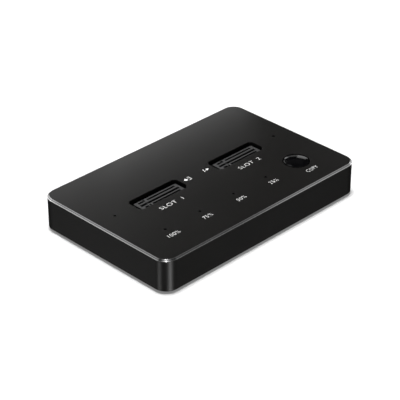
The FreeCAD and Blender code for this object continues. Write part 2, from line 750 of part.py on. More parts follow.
plunger = body("switch_plunger", S.button_x, S.button_y)
s = sketch(plunger, "XZ_Plane")
zs = z_board + S.switch_high
path(s, [(0, z_board + 2.15), (1.2, z_board + 2.15), (2.1, z_board + 2.35), (2.1, zs - 0.15), (S.plunger_dia / 2, zs - 0.15),
         (S.plunger_dia / 2, z_board + S.plunger_top - 0.15), (S.plunger_dia / 2 - 0.15, z_board + S.plunger_top), (0, z_board + S.plunger_top)])
revolve(plunger, s)
keep(plunger, "switch_plunger")

dome = body("switch_dome", S.button_x, S.button_y)
s = sketch(dome, "XZ_Plane")
path(s, [(0, z_board + 1.95), (1.2, z_board + 1.82), (2.0, z_board + 1.3), (2.2, z_board + 1.2), (2.3, z_board + 1.2),
         (2.3, z_board + 1.3), (2.06, z_board + 1.4), (1.25, z_board + 1.92), (0, z_board + 2.05)])
revolve(dome, s)
keep(dome, "switch_dome")

legs = []
for sx, sy in CORNERS:
    leg = body("switch_leg", S.button_x, S.button_y + sy * 2.25 - 0.3)
    s = sketch(leg, "XZ_Plane")
    e = S.switch_size / 2
    path(s, [(e * sx, z_board), ((e + 1.4) * sx, z_board), ((e + 1.4) * sx, z_board + 0.2), ((e + 0.2) * sx, z_board + 0.2),
             ((e + 0.2) * sx, z_board + 0.9), (e * sx, z_board + 0.9)])
    pad(leg, s, 0.6, back=True)
    legs.append(leg)
group("switch_terminals", legs)


# Light pipes glued under the top wall, and the lights below them.
def pipes(name, places):
    made = []
    for lx, ly in places:
        pipe = body("pipe", lx, ly)
        s = sketch(pipe, "XZ_Plane")
        a, b = S.pipe_body / 2, S.pipe_tip / 2
        path(s, [(0, z_board + 1.1), (a - 0.3, z_board + 1.1), (a, z_board + 1.4), (a, z_ceiling - 0.6), (a + 0.5, z_ceiling - 0.6),
                 (a + 0.5, z_ceiling), (b, z_ceiling), (b, z_top - S.pipe_drop - 0.1), (0, z_top - S.pipe_drop)])
        revolve(pipe, s)
        made.append(pipe)
    group(name, made)


def lights(name, places):
    made = body(name)
    s = sketch(made, "XY_Plane", z=z_board)
    for lx, ly in places:
        rect(s, lx, ly, 1.6, 0.8)
    pad(made, s, 0.3)
    s = sketch(made, "XY_Plane", z=z_board + 0.3)
    for lx, ly in places:
        rect(s, lx, ly, 1.0, 0.8)
    pad(made, s, 0.4)
    keep(made, name)


pipes("progress_light_pipes", LIGHTS)
pipes("drive_light_pipes", DRIVES)
lights("progress_lights", LIGHTS)
lights("drive_lights", DRIVES)

# Data receptacle in the back wall.
shell = body("usb_shell", S.usb_x)
y_inner = y_mouth - S.usb_depth
s = sketch(shell, "XZ_Plane", y=z_usb, z=-y_inner)
stadium(s, S.usb_width, S.usb_high)
pad(shell, s, S.usb_depth, back=True)
s = sketch(shell, "XY_Plane", z=S.board_floor + 0.2)
for lx, ly in LEGS:
    rect(s, lx, ly, S.usb_wall, 1.1)
pad(shell, s, z_usb - S.board_floor - 0.2)
s = sketch(shell, "XZ_Plane", y=z_usb, z=-(y_inner - 0.1))
stadium(s, S.usb_width - S.usb_wall * 2, S.usb_high - S.usb_wall * 2)
pocket(shell, s, S.usb_depth + 0.2)
keep(shell, "usb_shell")

tongue = body("usb_tongue", S.usb_x)
s = sketch(tongue, "XZ_Plane", y=z_usb, z=-(y_inner + 0.1))
stadium(s, S.usb_width - S.usb_wall * 2 - 0.04, S.usb_high - S.usb_wall * 2 - 0.04)
pad(tongue, s, 2.3, back=True)
s = sketch(tongue, "XZ_Plane", y=z_usb, z=-(y_inner + 2.4))
rect(s, 0, 0, 6.69, 0.7)
pad(tongue, s, 4.3, back=True)
tip = edges(tongue.Tip, lambda e: near(e.BoundBox.YMin, (y_inner + 6.7).number) and near(e.BoundBox.YMax, (y_inner + 6.7).number))
dress(tongue, "Chamfer", tip, 0.12)
keep(tongue, "usb_tongue")

pins = body("usb_contacts", S.usb_x)
for way in (-1, 1):
    s = sketch(pins, "XZ_Plane", y=z_usb, z=-(y_inner + 2.4))
    rect(s, 2.75, 0.39 * way, 0.25, 0.08)
    pin = pad(pins, s, 3.7, back=True)
    row(pins, pin, 12, 0.5)
keep(pins, "usb_contacts")

# Power jack beside it.
jack = body("power_jack_body", S.jack_x)
s = sketch(jack, "XZ_Plane", y=z_jack, z=-jack_back)
rect(s, 0, 0, S.jack_wide, S.jack_high)
pad(jack, s, S.jack_long, back=True)
long_edges = edges(jack.Tip, lambda e: near(e.BoundBox.XLength, 0) and near(e.BoundBox.ZLength, 0) and e.BoundBox.ZMin > z_jack.number)
dress(jack, "Chamfer", long_edges, 0.8)
s = sketch(jack, "XZ_Plane", y=z_jack, z=-(jack_back + S.jack_long))
circle(s, 0, 0, S.jack_collar)
pad(jack, s, 2.1, back=True)
s = sketch(jack, "XZ_Plane", y=z_jack, z=-(jack_back + 2.6))
circle(s, 0, 0, S.jack_bore)
pocket(jack, s, S.jack_long)
s = sketch(jack, "XZ_Plane", y=z_jack, z=-jack_back)
circle(s, 0, 0, S.jack_pin + 0.06)
pocket(jack, s, 3.0)
s = sketch(jack, "XZ_Plane", y=z_jack, z=-(jack_back + 2.6))
rect(s, 0, -(S.jack_bore / 2), 1.3, 1.1)
pocket(jack, s, 6.2)
mouth = edges(jack.Tip, lambda e: near(e.BoundBox.YMin, y_mouth.number) and near(e.BoundBox.YMax, y_mouth.number) and e.BoundBox.XLength < S.jack_bore.number + 0.2)
dress(jack, "Chamfer", mouth, 0.3)
keep(jack, "power_jack_body")

pin = body("power_jack_pin", S.jack_x, jack_back, z_jack)
s = sketch(pin, "XY_Plane")
r = S.jack_pin / 2
path(s, [(0, 0.1), (r, 0.1), (r, 9.7), (r - 0.3, 10.1), (0, 10.2)])
revolve(pin, s)
keep(pin, "power_jack_pin")

spring = body("power_jack_spring", S.jack_x - 0.5)
s = sketch(spring, "YZ_Plane")
zf = z_jack - S.jack_bore / 2 - 0.55
yb = jack_back + 2.7
path(s, [(yb, zf + 0.02), (yb + 2.6, zf + 0.02), (yb + 4.4, zf + 0.5), (yb + 5.9, zf + 0.15), (yb + 5.9, zf + 0.33),
         (yb + 4.4, zf + 0.7), (yb + 2.5, zf + 0.2), (yb, zf + 0.2)])
pad(spring, s, 1.0)
keep(spring, "power_jack_spring")

terms = body("power_jack_terminals", S.jack_x)
s = sketch(terms, "XY_Plane", z=S.board_floor - 0.8)
for tx, ty in TERMS:
    rect(s, tx, ty, 1.5, 0.3)
pad(terms, s, S.board_thick + 0.8)
keep(terms, "power_jack_terminals")


# Parts on the board.
def blocks(name, places, wide, deep, high, bevel=0.0):
    made = body(name)
    s = sketch(made, "XY_Plane", z=z_board)
    for cx, cy, turned in places:
        rect(s, cx, cy, deep if turned else wide, wide if turned else deep)
    pad(made, s, high)
    if bevel:
        top = (z_board + high).number
        dress(made, "Chamfer", edges(made.Tip, lambda e: near(e.BoundBox.ZMin, top) and near(e.BoundBox.ZMax, top)), bevel)
    return keep(made, name)


blocks("bridge_chip", [(-3.5, 15.2, False)], 9.0, 9.0, 0.9, 0.1)
blocks("flash_chip", [(-17.0, 16.5, False)], 5.0, 4.0, 1.5, 0.2)
leads = body("flash_chip_leads")
s = sketch(leads, "XY_Plane", z=z_board)
for i in range(4):
    for way in (-1, 1):
        rect(s, -17.0 + (i - 1.5) * 1.27, 16.5 + way * 2.55, 0.42, 1.1)
pad(leads, s, 0.25)
keep(leads, "flash_chip_leads")
blocks("clock_crystal", [(-12.0, 21.5, False)], 3.2, 2.5, 0.8, 0.15)
blocks("regulator_chips", [(27.0, 22.5, False), (27.0, 13.5, False)], 3.0, 3.0, 0.9, 0.1)
blocks("power_inductors", [(32.0, 22.5, False), (32.0, 13.5, False)], 4.0, 4.0, 2.0, 0.3)
cans = []
for cx, cy in ((38.0, 23.0), (38.0, 13.5), (-26.0, 24.0)):
    can = body("bulk_can", cx, cy)
    s = sketch(can, "XY_Plane", z=z_board)
    rect(s, 0, 0, 5.3, 5.3)
    pad(can, s, 0.8)
    s = sketch(can, "XY_Plane", z=z_board + 0.8)
    circle(s, 0, 0, 5.0)
    pad(can, s, 4.4)
    top = (z_board + 5.2).number
    dress(can, "Fillet", edges(can.Tip, lambda e: near(e.BoundBox.ZMin, top) and near(e.BoundBox.ZMax, top)), 0.4)
    cans.append(can)
group("bulk_capacitors", cans)
blocks("ceramic_capacitors", [(-10.5, 17.5, True), (-10.5, 14.0, True), (4.0, 17.5, True), (4.0, 13.5, True), (-5.5, 22.2, False), (-1.5, 22.2, False),
                              (-33.5, 9.5, False), (-20.0, 9.5, False), (12.0, 9.5, False), (24.0, 9.5, False), (23.0, 18.0, False), (29.0, 18.0, False)],
       1.6, 0.8, 0.8)
blocks("chip_resistors", [(-36.5, -12.5, False), (-18.6, -12.5, False), (-0.8, -12.5, False), (17.1, -12.5, False), (-43.5, 7.0, True), (41.0, 7.0, True),
                          (29.0, -22.5, True), (-12.5, 24.5, False), (-16.0, 12.5, False), (8.0, 22.0, True)],
       1.6, 0.8, 0.45)

doc.recompute()
for obj in doc.Objects:
    if "Invalid" in obj.State or "Error" in obj.State:
        raise RuntimeError("failed: %s %s" % (obj.Name, obj.State))
names = [obj.Label for obj in nodes]
if len(set(names)) != len(names):
    raise RuntimeError("two pieces share a name")
os.makedirs("parts", exist_ok=True)
for obj in nodes:
    shape = obj.Shape
    if shape.isNull() or not shape.isValid() or not shape.Solids:
        raise RuntimeError("bad shape: " + obj.Label)
for obj in nodes:
    obj.Shape.exportStep("parts/%s.step" % obj.Label)
    box = obj.Shape.BoundBox
    print("%-24s solids %3d volume %9.3f  x %.2f %.2f  y %.2f %.2f  z %.2f %.2f" % (
        obj.Label, len(obj.Shape.Solids), obj.Shape.Volume, box.XMin, box.XMax, box.YMin, box.YMax, box.ZMin, box.ZMax))
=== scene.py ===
import bpy
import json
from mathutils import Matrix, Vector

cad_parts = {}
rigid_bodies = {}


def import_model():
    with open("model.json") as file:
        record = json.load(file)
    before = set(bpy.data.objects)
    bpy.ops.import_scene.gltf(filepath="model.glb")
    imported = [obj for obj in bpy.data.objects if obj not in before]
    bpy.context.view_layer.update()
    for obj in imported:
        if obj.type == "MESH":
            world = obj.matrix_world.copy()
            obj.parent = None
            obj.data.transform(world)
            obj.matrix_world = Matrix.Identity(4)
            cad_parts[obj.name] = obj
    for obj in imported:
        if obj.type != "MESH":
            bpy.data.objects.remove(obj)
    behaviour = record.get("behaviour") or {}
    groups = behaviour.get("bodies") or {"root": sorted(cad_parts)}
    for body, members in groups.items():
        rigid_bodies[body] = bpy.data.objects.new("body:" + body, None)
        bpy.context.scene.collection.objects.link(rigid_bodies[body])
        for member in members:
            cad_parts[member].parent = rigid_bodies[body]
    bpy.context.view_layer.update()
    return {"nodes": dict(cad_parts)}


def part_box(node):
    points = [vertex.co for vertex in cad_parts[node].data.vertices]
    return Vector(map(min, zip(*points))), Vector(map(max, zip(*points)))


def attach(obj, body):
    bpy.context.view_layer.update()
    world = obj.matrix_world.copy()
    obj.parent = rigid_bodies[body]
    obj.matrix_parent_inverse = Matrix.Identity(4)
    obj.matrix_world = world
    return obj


for thing in list(bpy.data.objects):
    bpy.data.objects.remove(thing, do_unlink=True)
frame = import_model()
import json
import math
import bmesh
from mathutils import Quaternion, Vector

nodes = frame["nodes"]
MM = 0.001
Z_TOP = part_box("top_case")[1][2]


# --------------------------------------------------------------------------
# Materials. Each is a node graph on the object's own coordinates, in metres,
# so that a grain has its real size.
# --------------------------------------------------------------------------
class Look:
    def __init__(self, name, color=(0.5, 0.5, 0.5), rough=0.5, metal=0.0, spec=0.5, **extra):
        self.mat = bpy.data.materials.new(name)
        self.mat.use_nodes = True
        self.tree = self.mat.node_tree
        self.tree.nodes.clear()
        out = self.add("ShaderNodeOutputMaterial")
        self.shader = self.add("ShaderNodeBsdfPrincipled")
        self.join(self.shader.outputs["BSDF"], out.inputs["Surface"])
        spot = self.add("ShaderNodeTexCoord")
        self.place = spot.outputs["Object"]
        self.normal = spot.outputs["Normal"]
        self.put("Base Color", (*color, 1.0))
        self.put("Roughness", rough)
        self.put("Metallic", metal)
        self.put("Specular IOR Level", spec)
        for key, value in extra.items():
            self.put(key.replace("_", " "), value)

    def add(self, kind, **props):
        node = self.tree.nodes.new(kind)
        for key, value in props.items():
            setattr(node, key, value)
        return node

    def join(self, a, b):
        self.tree.links.new(a, b)

    def put(self, socket, value):
        self.shader.inputs[socket].default_value = value

    def feed(self, socket, out):
        self.join(out, self.shader.inputs[socket])

    def math(self, op, a, b=None, c=None, clamp=False):
        node = self.add("ShaderNodeMath", operation=op, use_clamp=clamp)
        for i, v in enumerate((a, b, c)):
            if v is None:
                continue
            if isinstance(v, (int, float)):
                node.inputs[i].default_value = v
            else:
                self.join(v, node.inputs[i])
        return node.outputs[0]

    def split(self, vector):
        node = self.add("ShaderNodeSeparateXYZ")
        self.join(vector, node.inputs[0])
        return node.outputs[0], node.outputs[1], node.outputs[2]

    def moved(self, scale=(1, 1, 1), turn=(0, 0, 0), shift=(0, 0, 0), vector=None):
        node = self.add("ShaderNodeMapping")
        self.join(vector or self.place, node.inputs["Vector"])
        node.inputs["Scale"].default_value = scale
        node.inputs["Rotation"].default_value = turn
        node.inputs["Location"].default_value = shift
        return node.outputs[0]

    def noise(self, grain, detail=2.0, rough=0.5, vector=None):
        """Noise whose features are about grain metres across."""
        node = self.add("ShaderNodeTexNoise")
        self.join(vector or self.place, node.inputs["Vector"])
        node.inputs["Scale"].default_value = 1.0 / grain
        node.inputs["Detail"].default_value = detail
        node.inputs["Roughness"].default_value = rough
        return node.outputs["Fac"]

    def cells(self, grain, feature="F1", vector=None, out="Distance"):
        node = self.add("ShaderNodeTexVoronoi", feature=feature)
        self.join(vector or self.place, node.inputs["Vector"])
        node.inputs["Scale"].default_value = 1.0 / grain
        return node.outputs[out]

    def span(self, value, a, b, c, d, smooth=False):
        """Value from a..b carried over to c..d."""
        node = self.add("ShaderNodeMapRange", interpolation_type="SMOOTHSTEP" if smooth else "LINEAR")
        self.join(value, node.inputs["Value"])
        for key, v in zip(("From Min", "From Max", "To Min", "To Max"), (a, b, c, d)):
            node.inputs[key].default_value = v
        return node.outputs["Result"]

    def tones(self, value, *stops):
        node = self.add("ShaderNodeValToRGB")
        ramp = node.color_ramp
        while len(ramp.elements) > 1:
            ramp.elements.remove(ramp.elements[-1])
        for i, (pos, color) in enumerate(stops):
            element = ramp.elements[0] if i == 0 else ramp.elements.new(pos)
            element.position = pos
            element.color = (*color, 1.0)
        self.join(value, node.inputs["Fac"])
        return node.outputs["Color"]

    def blend(self, fac, a, b):
        node = self.add("ShaderNodeMix", data_type="RGBA")
        self.join(fac, node.inputs["Factor"])
        for key, v in ((6, a), (7, b)):
            if isinstance(v, tuple):
                node.inputs[key].default_value = (*v, 1.0)
            else:
                self.join(v, node.inputs[key])
        return node.outputs[2]

    def lerp(self, fac, a, b):
        node = self.add("ShaderNodeMix", data_type="FLOAT")
        self.join(fac, node.inputs["Factor"])
        for key, v in ((2, a), (3, b)):
            if isinstance(v, (int, float)):
                node.inputs[key].default_value = v
            else:
                self.join(v, node.inputs[key])
        return node.outputs[0]

    def bump(self, height, depth, strength=1.0):
        node = self.add("ShaderNodeBump")
        node.inputs["Strength"].default_value = strength
        node.inputs["Distance"].default_value = depth
        self.join(height, node.inputs["Height"])
        self.feed("Normal", node.outputs["Normal"])
        return node


def anodised():
    """Black bead-blasted aluminium with a bright edge cut round the top."""
    m = Look("anodised_case", spec=0.28)
    x, y, z = m.split(m.place)
    nx, ny, nz = m.split(m.normal)
    # the cut edge: slanted faces close to the outline
    ax = m.math("DIVIDE", m.math("ABSOLUTE", x), 0.0525)
    ay = m.math("DIVIDE", m.math("ABSOLUTE", y), 0.03395)
    outer = m.math("GREATER_THAN", m.math("MAXIMUM", ax, ay), 0.9)
    slant = m.math("MULTIPLY", m.span(nz, 0.45, 0.58, 0.0, 1.0, True), m.span(nz, 0.82, 0.93, 1.0, 0.0, True))
    cut = m.math("MULTIPLY", outer, slant)
    # blasted grain, with a faint drift of the dye over the whole face
    fine = m.noise(0.00016, 3.0, 0.6)
    drift = m.noise(0.022, 3.0, 0.55)
    tone = m.math("ADD", m.math("MULTIPLY", fine, 0.6), m.math("MULTIPLY", drift, 0.4))
    black = m.tones(tone, (0.3, (0.0032, 0.0030, 0.0028)), (0.52, (0.0046, 0.0043, 0.0040)), (0.75, (0.0064, 0.0060, 0.0056)))
    # tool marks along the cut edge, and a painted highlight as pale lines along its upper and lower borders
    marks = m.noise(0.00012, 2.0, 0.5, m.moved(scale=(0.06, 0.06, 1.0)))
    bright = m.tones(marks, (0.25, (0.30, 0.30, 0.305)), (0.75, (0.44, 0.44, 0.445)))
    # painted highlight: pale bands at the top and bottom borders of the cut edge, where a rounded edge would catch the
    # light
    painted_lip_highlight = m.math("MAXIMUM", m.span(z, 0.01404, 0.01412, 1.0, 0.0, True), m.span(z, 0.01444, 0.01451, 0.0, 0.6, True))
    bright = m.blend(painted_lip_highlight, bright, (0.90, 0.90, 0.90))
    m.feed("Base Color", m.blend(cut, black, bright))
    m.feed("Metallic", cut)
    grain_rough = m.span(fine, 0.25, 0.75, 0.34, 0.42)
    cut_rough = m.span(marks, 0.25, 0.75, 0.14, 0.22)
    m.feed("Roughness", m.lerp(cut, grain_rough, cut_rough))
    m.bump(m.lerp(cut, fine, m.math("MULTIPLY", marks, 0.25)), 0.000006, 0.35)
    return m.mat


def moulded(name, low, high, rough, grain=0.00035, depth=0.00001, spec=0.45):
    """Injection-moulded plastic with a spark-eroded grain."""
    m = Look(name, spec=spec)
    fine = m.noise(grain, 4.0, 0.6)
    broad = m.noise(0.009, 2.0, 0.5)
    tone = m.math("ADD", m.math("MULTIPLY", fine, 0.7), m.math("MULTIPLY", broad, 0.3))
    m.feed("Base Color", m.tones(tone, (0.3, low), (0.7, high)))
    m.feed("Roughness", m.span(fine, 0.25, 0.75, rough - 0.07, rough + 0.07))
    m.bump(fine, depth, 0.6)
    return m.mat


def socket_mould():
    """Glass-filled moulding of the card sockets: its own pale grey on the rims, with painted shade making it dark below
    them.
    """
    m = Look("socket_plastic", spec=0.5)
    x, y, z = m.split(m.place)
    fine = m.noise(0.00022, 4.0, 0.6)
    fibre = m.noise(0.00012, 3.0, 0.6, m.moved(scale=(0.25, 1.0, 1.0)))
    tone = m.math("ADD", m.math("MULTIPLY", fine, 0.5), m.math("MULTIPLY", fibre, 0.5))
    # painted shade: a darker tone of the same plastic for everything below the rim tops, where the cells lie in shade
    painted_recess_shade = m.tones(tone, (0.3, (0.0070, 0.0070, 0.0072)), (0.7, (0.0120, 0.0120, 0.0124)))
    rim = m.tones(tone, (0.3, (0.028, 0.028, 0.0285)), (0.7, (0.044, 0.044, 0.0445)))
    m.feed("Base Color", m.blend(m.span(z, 0.01366, 0.01386, 0.0, 1.0, True), painted_recess_shade, rim))
    m.feed("Roughness", m.span(tone, 0.25, 0.75, 0.34, 0.48))
    m.bump(tone, 0.000004, 0.6)
    return m.mat


def metal(name, low, high, rough, stretch=(1, 1, 1), grain=0.0002, depth=0.000002):
    """Sheet or turned metal with drawing marks along one way."""
    m = Look(name, metal=1.0)
    marks = m.noise(grain, 3.0, 0.6, m.moved(scale=stretch))
    stain = m.noise(0.0025, 3.0, 0.6)
    tone = m.math("ADD", m.math("MULTIPLY", marks, 0.55), m.math("MULTIPLY", stain, 0.45))
    m.feed("Base Color", m.tones(tone, (0.3, low), (0.7, high)))
    m.feed("Roughness", m.span(tone, 0.3, 0.7, rough - 0.06, rough + 0.08))
    m.bump(marks, depth, 0.5)
    return m.mat


def rubber():
    m = Look("foot_rubber", spec=0.3)
    fine = m.noise(0.0003, 4.0, 0.65)
    dust = m.noise(0.0016, 4.0, 0.7)
    tone = m.math("ADD", m.math("MULTIPLY", fine, 0.5), m.math("MULTIPLY", dust, 0.5))
    m.feed("Base Color", m.tones(tone, (0.3, (0.012, 0.012, 0.012)), (0.62, (0.022, 0.022, 0.022)), (0.8, (0.035, 0.034, 0.033))))
    m.feed("Roughness", m.span(tone, 0.3, 0.7, 0.78, 0.92))
    m.bump(fine, 0.000015, 0.7)
    return m.mat


def polished_cap():
    """Gloss button with a faint moulding ripple, hairline rubbing and a dull skirt."""
    m = Look("button_gloss", spec=0.5)
    nx, ny, nz = m.split(m.normal)
    ripple = m.noise(0.004, 2.0, 0.5)
    rub = m.noise(0.00025, 3.0, 0.6, m.moved(scale=(1.0, 0.15, 1.0), turn=(0, 0, 0.7)))
    m.feed("Base Color", m.tones(ripple, (0.3, (0.0008, 0.0008, 0.0010)), (0.7, (0.0015, 0.0015, 0.0018))))
    x, y, z = m.split(m.place)
    skirt = m.math("MAXIMUM", m.span(nz, 0.90, 0.932, 1.0, 0.0, True), m.span(z, 0.01425, 0.01440, 1.0, 0.0, True))
    m.feed("Roughness", m.lerp(skirt, m.span(rub, 0.3, 0.75, 0.09, 0.15), m.span(rub, 0.3, 0.75, 0.92, 1.0)))
    m.bump(ripple, 0.000004, 0.25)
    return m.mat


def smoke_pipe():
    m = Look("smoke_pipe", spec=0.25)
    cloud = m.noise(0.0006, 3.0, 0.6)
    m.feed("Base Color", m.tones(cloud, (0.3, (0.0015, 0.0015, 0.0017)), (0.7, (0.0040, 0.0040, 0.0044))))
    m.feed("Roughness", m.span(cloud, 0.3, 0.7, 0.42, 0.58))
    m.bump(cloud, 0.000004, 0.3)
    return m.mat


def white_ink():
    """Screen-printed ink: slightly mottled, with thin spots."""
    m = Look("legend_ink", spec=0.35)
    mottle = m.noise(0.00035, 3.0, 0.6)
    m.feed("Base Color", m.tones(mottle, (0.25, (0.66, 0.66, 0.65)), (0.6, (0.80, 0.80, 0.79)), (0.8, (0.86, 0.86, 0.85))))
    m.feed("Roughness", m.span(mottle, 0.25, 0.75, 0.48, 0.62))
    m.bump(mottle, 0.000003, 0.4)
    return m.mat


def circuit_board():
    """Green solder mask over copper tracks, with the mask's grain."""
    m = Look("solder_mask", spec=0.5)
    x, y, z = m.split(m.place)
    nx, ny, nz = m.split(m.normal)
    lanes = m.cells(0.0016, "F1", m.moved(scale=(1.0, 1.6, 0.001)), out="Color")
    lx, ly, lz = m.split(lanes)
    along = m.math("FRACT", m.math("MULTIPLY", x, 1250.0))
    across = m.math("FRACT", m.math("MULTIPLY", y, 1250.0))
    pick = m.math("GREATER_THAN", lx, 0.5)
    saw = m.lerp(pick, along, across)
    track = m.math("LESS_THAN", m.math("ABSOLUTE", m.math("SUBTRACT", saw, 0.5)), 0.22)
    track = m.math("MULTIPLY", track, m.math("GREATER_THAN", ly, 0.35))
    fine = m.noise(0.0003, 3.0, 0.6)
    mask = m.tones(fine, (0.3, (0.004, 0.020, 0.011)), (0.7, (0.007, 0.030, 0.016)))
    copper = m.tones(fine, (0.3, (0.012, 0.050, 0.022)), (0.7, (0.018, 0.066, 0.030)))
    face = m.blend(track, mask, copper)
    edge = m.tones(fine, (0.3, (0.20, 0.17, 0.08)), (0.7, (0.30, 0.26, 0.13)))
    flat = m.math("GREATER_THAN", m.math("ABSOLUTE", nz), 0.5)
    m.feed("Base Color", m.blend(flat, edge, face))
    m.feed("Roughness", m.span(fine, 0.25, 0.75, 0.26, 0.40))
    m.bump(m.math("ADD", m.math("MULTIPLY", fine, 0.15), track), 0.00002, 0.5)
    return m.mat


def chip_mould():
    """Epoxy package with a stone-like grain."""
    return moulded("chip_epoxy", (0.011, 0.011, 0.012), (0.026, 0.026, 0.027), 0.55, 0.00014, 0.000006, 0.4)


def fired(name, low, high, rough):
    m = Look(name, spec=0.5)
    x, y, z = m.split(m.place)
    fine = m.noise(0.00012, 3.0, 0.6)
    m.feed("Base Color", m.tones(fine, (0.3, low), (0.7, high)))
    m.feed("Roughness", m.span(fine, 0.3, 0.7, rough - 0.08, rough + 0.08))
    m.bump(fine, 0.000005, 0.5)
    return m.mat


def glowing_cell():
    """Small light: clear resin over a pale chip, dark while off."""
    m = Look("light_resin", spec=0.5)
    fine = m.noise(0.0002, 3.0, 0.6)
    m.feed("Base Color", m.tones(fine, (0.3, (0.52, 0.48, 0.28)), (0.7, (0.72, 0.67, 0.44))))
    m.feed("Roughness", m.span(fine, 0.3, 0.7, 0.18, 0.32))
    m.bump(fine, 0.000004, 0.4)
    return m.mat


CASE = anodised()
COVER = moulded("cover_plastic", (0.012, 0.012, 0.012), (0.024, 0.024, 0.024), 0.58, 0.00040, 0.000014)
PLATE = moulded("plate_plastic", (0.011, 0.011, 0.011), (0.021, 0.021, 0.021), 0.50, 0.00028, 0.000010)
SOCKET = socket_mould()
JACK = moulded("jack_plastic", (0.012, 0.012, 0.013), (0.022, 0.022, 0.023), 0.42, 0.00025, 0.000006)
SWITCH = moulded("switch_plastic", (0.020, 0.020, 0.021), (0.036, 0.036, 0.037), 0.50, 0.00025, 0.000006)
PLUNGER = moulded("plunger_plastic", (0.016, 0.016, 0.017), (0.030, 0.030, 0.031), 0.45, 0.00025, 0.000006)
RUBBER = rubber()
BUTTON = polished_cap()
PIPE = smoke_pipe()
INK = white_ink()
BOARD = circuit_board()
CHIP = chip_mould()
LIGHT = glowing_cell()
BLACK_SCREW = metal("black_oxide", (0.030, 0.030, 0.032), (0.075, 0.075, 0.080), 0.38)
ZINC = metal("zinc_plate", (0.50, 0.50, 0.49), (0.66, 0.66, 0.64), 0.32)
GOLD = metal("gold_plate", (0.74, 0.50, 0.17), (0.90, 0.66, 0.29), 0.24, (1, 0.2, 1))
TIN = metal("tin_plate", (0.56, 0.56, 0.55), (0.74, 0.74, 0.72), 0.34)
STEEL = metal("satin_steel", (0.46, 0.46, 0.47), (0.66, 0.66, 0.67), 0.30, (1, 0.12, 1))
NICKEL = metal("nickel_plate", (0.60, 0.58, 0.54), (0.76, 0.74, 0.70), 0.20, (1, 0.15, 1))
CAN = metal("capacitor_can", (0.60, 0.60, 0.61), (0.78, 0.78, 0.79), 0.26, (1, 1, 0.15))
FERRITE = fired("ferrite", (0.040, 0.040, 0.041), (0.075, 0.074, 0.072), 0.62)
CERAMIC = fired("ceramic_body", (0.34, 0.26, 0.17), (0.50, 0.40, 0.28), 0.45)
RESISTOR = fired("resistor_body", (0.018, 0.018, 0.020), (0.040, 0.040, 0.044), 0.35)

FINISH = {
    "top_case": CASE, "connector_plate": PLATE, "bottom_cover": COVER, "rubber_feet": RUBBER,
    "cover_screws": BLACK_SCREW, "board_screws": ZINC, "main_board": BOARD,
    "left_socket_frame": SOCKET, "left_socket_back_comb": SOCKET, "left_socket_front_comb": SOCKET,
    "right_socket_frame": SOCKET, "right_socket_back_comb": SOCKET, "right_socket_front_comb": SOCKET,
    "left_socket_contacts": GOLD, "right_socket_contacts": GOLD, "socket_hold_downs": TIN,
    "copy_button": BUTTON, "switch_base": SWITCH, "switch_cover": STEEL, "switch_plunger": PLUNGER,
    "switch_dome": STEEL, "switch_terminals": TIN,
    "progress_light_pipes": PIPE, "drive_light_pipes": PIPE, "progress_lights": LIGHT, "drive_lights": LIGHT,
    "usb_shell": STEEL, "usb_tongue": JACK, "usb_contacts": GOLD,
    "power_jack_body": JACK, "power_jack_pin": NICKEL, "power_jack_spring": NICKEL, "power_jack_terminals": TIN,
    "bridge_chip": CHIP, "flash_chip": CHIP, "flash_chip_leads": TIN, "clock_crystal": STEEL,
    "regulator_chips": CHIP, "power_inductors": FERRITE, "bulk_capacitors": CAN,
    "ceramic_capacitors": CERAMIC, "chip_resistors": RESISTOR,
}
for name, node in nodes.items():
    finish = FINISH[name]
    node.data.materials.clear()
    node.data.materials.append(finish)


# --------------------------------------------------------------------------
# Printed legends: thin layers of ink that lie on the top face.
# --------------------------------------------------------------------------
INK_LOW = Z_TOP - 0.00001
INK_HIGH = Z_TOP + 0.000018


def settle(bm, name):
    """Closed ink mesh from a flat-sided solid, riding on the dock."""
    bmesh.ops.remove_doubles(bm, verts=bm.verts, dist=1e-7)
    bmesh.ops.dissolve_degenerate(bm, edges=bm.edges, dist=1e-8)
    bmesh.ops.recalc_face_normals(bm, faces=bm.faces)
    mesh = bpy.data.meshes.new(name)
    bm.to_mesh(mesh)
    bm.free()
    mesh.materials.append(INK)
    piece = bpy.data.objects.new(name, mesh)
    bpy.context.scene.collection.objects.link(piece)
    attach(piece, "dock")
    return piece


def letters(bm, text, cx, cy, width, height, gap=1.05, heavy=-0.019):
    """Adds a line of lettering, centred at cx, cy in mm and read from the front."""
    curve = bpy.data.curves.new("line", "FONT")
    curve.body = text
    curve.size = 1.0
    curve.resolution_u = 6
    curve.extrude = 0.5
    curve.offset = heavy
    curve.space_character = gap
    holder = bpy.data.objects.new("line", curve)
    bpy.context.scene.collection.objects.link(holder)
    shape = bpy.data.meshes.new_from_object(holder.evaluated_get(bpy.context.evaluated_depsgraph_get()))
    xs = [v.co.x for v in shape.vertices]
    ys = [v.co.y for v in shape.vertices]
    x0, x1, y0, y1 = min(xs), max(xs), min(ys), max(ys)
    for v in shape.vertices:
        v.co.x = (cx + ((v.co.x - x0) / (x1 - x0) - 0.5) * width) * MM
        v.co.y = (cy + ((v.co.y - y0) / (y1 - y0) - 0.5) * height) * MM
        v.co.z = INK_HIGH if v.co.z > 0 else INK_LOW
    bm.from_mesh(shape)
    bpy.data.objects.remove(holder)
    bpy.data.curves.remove(curve)
    bpy.data.meshes.remove(shape)


def plate_shape(bm, points):
    """Adds a flat ink shape with the given outline in mm, anticlockwise."""
    low = [bm.verts.new((x * MM, y * MM, INK_LOW)) for x, y in points]
    high = [bm.verts.new((x * MM, y * MM, INK_HIGH)) for x, y in points]
    bm.faces.new(high)
    bm.faces.new(low[::-1])
    n = len(points)
    for i in range(n):
        j = (i + 1) % n
        bm.faces.new((low[i], low[j], high[j], high[i]))


